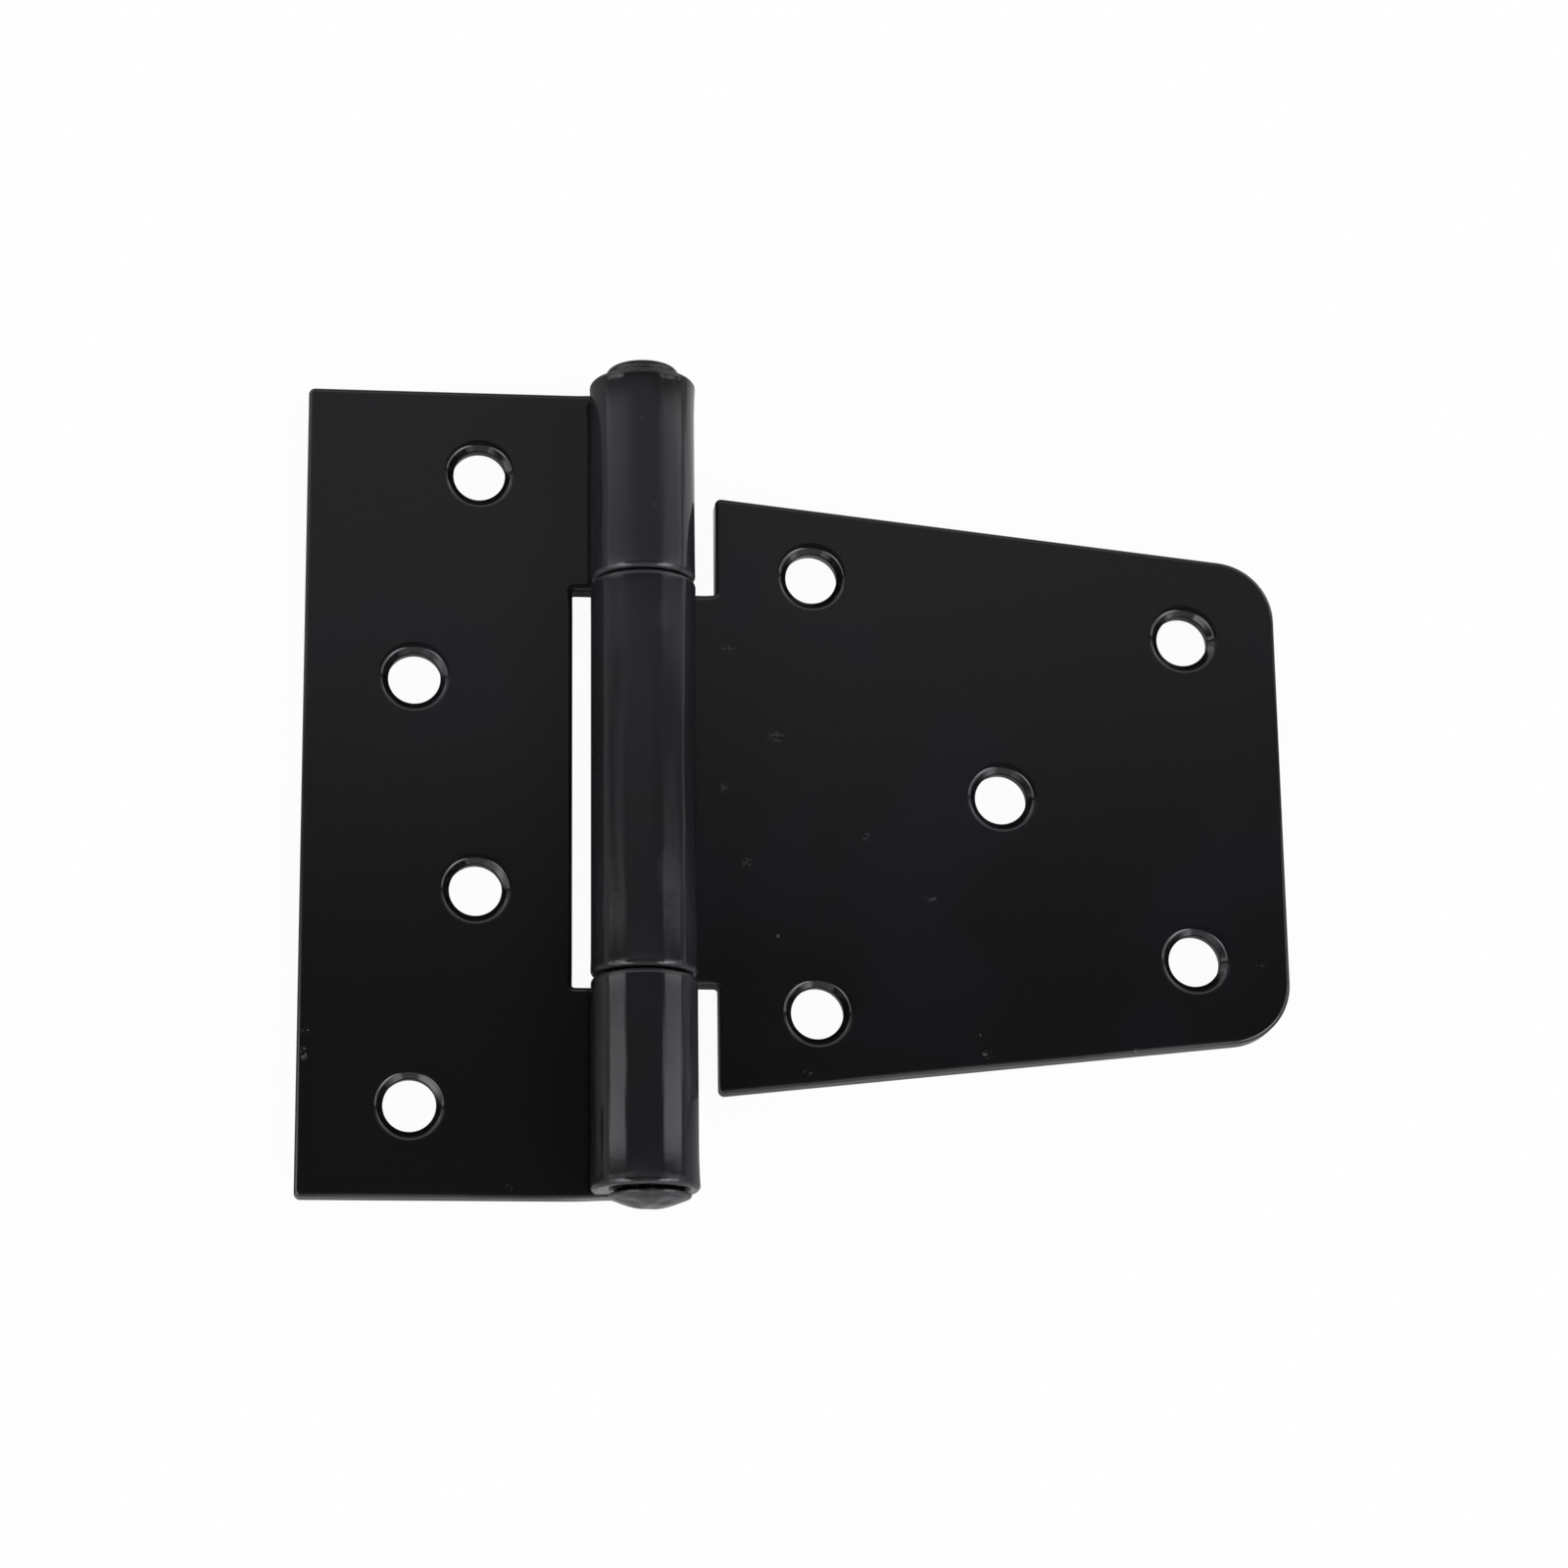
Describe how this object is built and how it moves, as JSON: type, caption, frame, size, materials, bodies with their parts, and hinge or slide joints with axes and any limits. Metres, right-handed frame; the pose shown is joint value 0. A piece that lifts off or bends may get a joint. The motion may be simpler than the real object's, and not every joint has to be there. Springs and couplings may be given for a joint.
{
  "type": "gate hinge",
  "caption": "Flat surface hinge for a gate: a rectangular post leaf and a tapered gate leaf, both with rolled knuckles, turning on a riveted pin.",
  "frame": {"origin": "on the mounting plane, under the middle of the barrel", "axes": "+X across the leaves towards the gate leaf, +Y along the barrel, +Z out from the mounting plane"},
  "size_m": [0.1424, 0.1243, 0.0151],
  "materials": {
    "leaf_paint": "glossy black paint on steel sheet",
    "pin_paint": "glossy black paint on a hammered rivet head"
  },
  "bodies": {
    "post": {"post_leaf": "leaf_paint", "hinge_pin": "pin_paint"},
    "gate": {"gate_leaf": "leaf_paint"}
  },
  "joints": [
    {"name": "gate_swing", "type": "hinge", "parent": "post", "child": "gate", "pos_m": [0, 0, 0.00755], "axis": [0, -1, 0], "range_deg": [-100, 180]}
  ]
}
